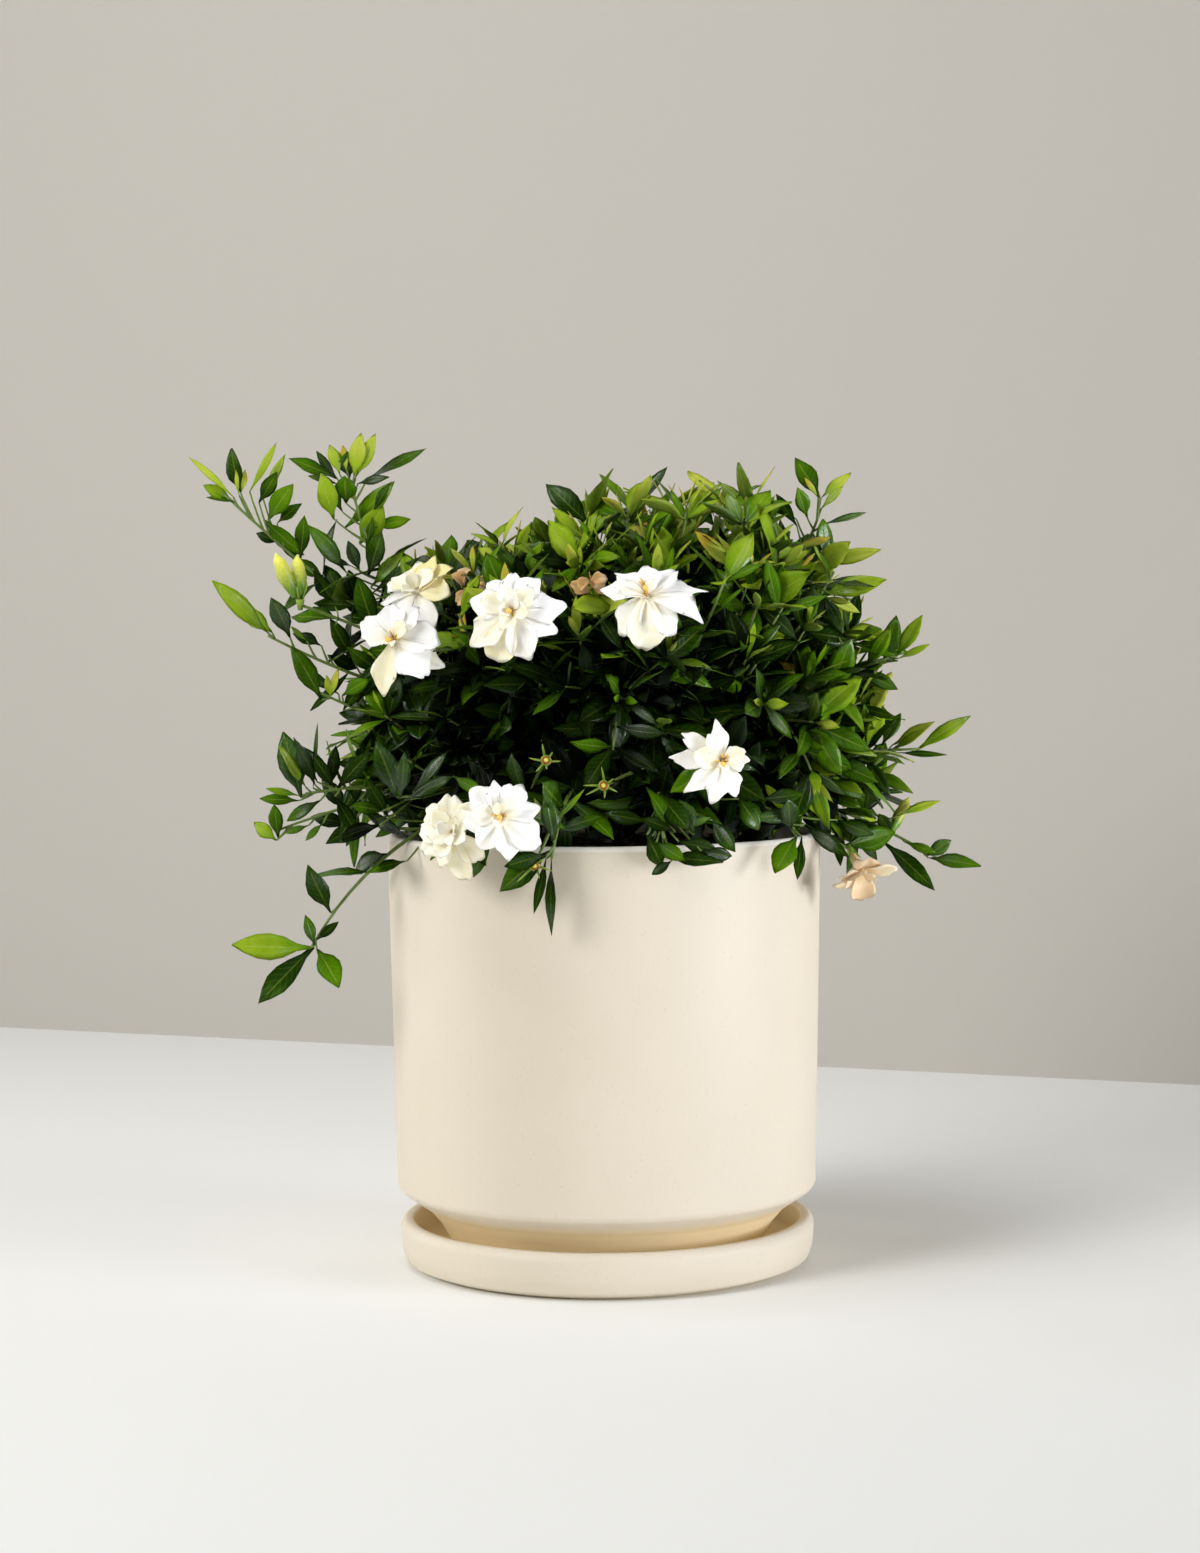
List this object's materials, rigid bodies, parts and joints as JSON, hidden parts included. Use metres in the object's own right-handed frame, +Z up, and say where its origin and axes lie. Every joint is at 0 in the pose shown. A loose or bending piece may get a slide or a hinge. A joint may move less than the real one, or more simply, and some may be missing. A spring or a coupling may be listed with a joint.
{
  "type": "potted gardenia",
  "caption": "Dwarf gardenia bush in flower, planted in a cream glazed cylinder pot that stands in its matching round saucer",
  "frame": {"origin": "centre of the saucer's flat underside, on the pot's axis", "axes": "+Z up along the pot's axis; -Y is the front that the picture shows; +X is to the right seen from the front"},
  "size_m": [0.4524, 0.3252, 0.4825],
  "materials": {
    "cream_glaze": "satin",
    "bark_mix": "matte",
    "bark": "matte",
    "leaf": "satin",
    "inner_leaf": "satin",
    "bud": "satin",
    "petal": "matte",
    "faded_petal": "matte",
    "stigma": "matte"
  },
  "bodies": {
    "root": {"bloom_back_left": "petal", "bloom_back_left_stigma": "stigma", "bloom_back_right": "petal", "bloom_back_right_stigma": "stigma", "bloom_centre": "petal", "bloom_centre_left": "petal", "bloom_centre_left_stigma": "stigma", "bloom_centre_stigma": "stigma", "bloom_faded": "faded_petal", "bloom_left": "petal", "bloom_left_behind": "petal", "bloom_left_stigma": "stigma", "bloom_right_low": "petal", "bloom_right_low_stigma": "stigma", "bloom_rim_left": "petal", "bloom_rim_right": "petal", "bloom_rim_right_stigma": "stigma", "bough_back": "leaf", "bough_back_left": "leaf", "bough_back_right": "leaf", "bough_front": "leaf", "bough_front_right": "leaf", "bough_top_back": "leaf", "bough_top_front": "leaf", "bough_upper_back": "leaf", "bough_upper_left_back": "leaf", "bough_upper_right_back": "leaf", "bough_upper_right_front": "leaf", "buds_left": "bud", "inner_foliage": "inner_leaf", "pot": "cream_glaze", "saucer": "cream_glaze", "shoot_back_left": "leaf", "shoot_back_right": "leaf", "shoot_buds_left": "leaf", "shoot_centre": "leaf", "shoot_centre_left": "leaf", "shoot_faded": "leaf", "shoot_left": "leaf", "shoot_left_behind": "leaf", "shoot_right_low": "leaf", "shoot_rim_left": "leaf", "shoot_rim_right": "leaf", "soil": "bark_mix", "sprig_left_hanging": "leaf", "sprig_left_low": "leaf", "sprig_left_middle": "leaf", "sprig_left_out": "leaf", "sprig_left_rim": "leaf", "sprig_left_tall": "leaf", "sprig_left_upper": "leaf", "sprig_right_high": "leaf", "sprig_right_low": "leaf", "sprig_right_middle": "leaf", "sprig_rim_centre": "leaf", "sprig_rim_hanging": "leaf", "sprig_rim_right": "leaf", "sprig_top_right": "leaf", "trunk": "bark"}
  },
  "joints": []
}
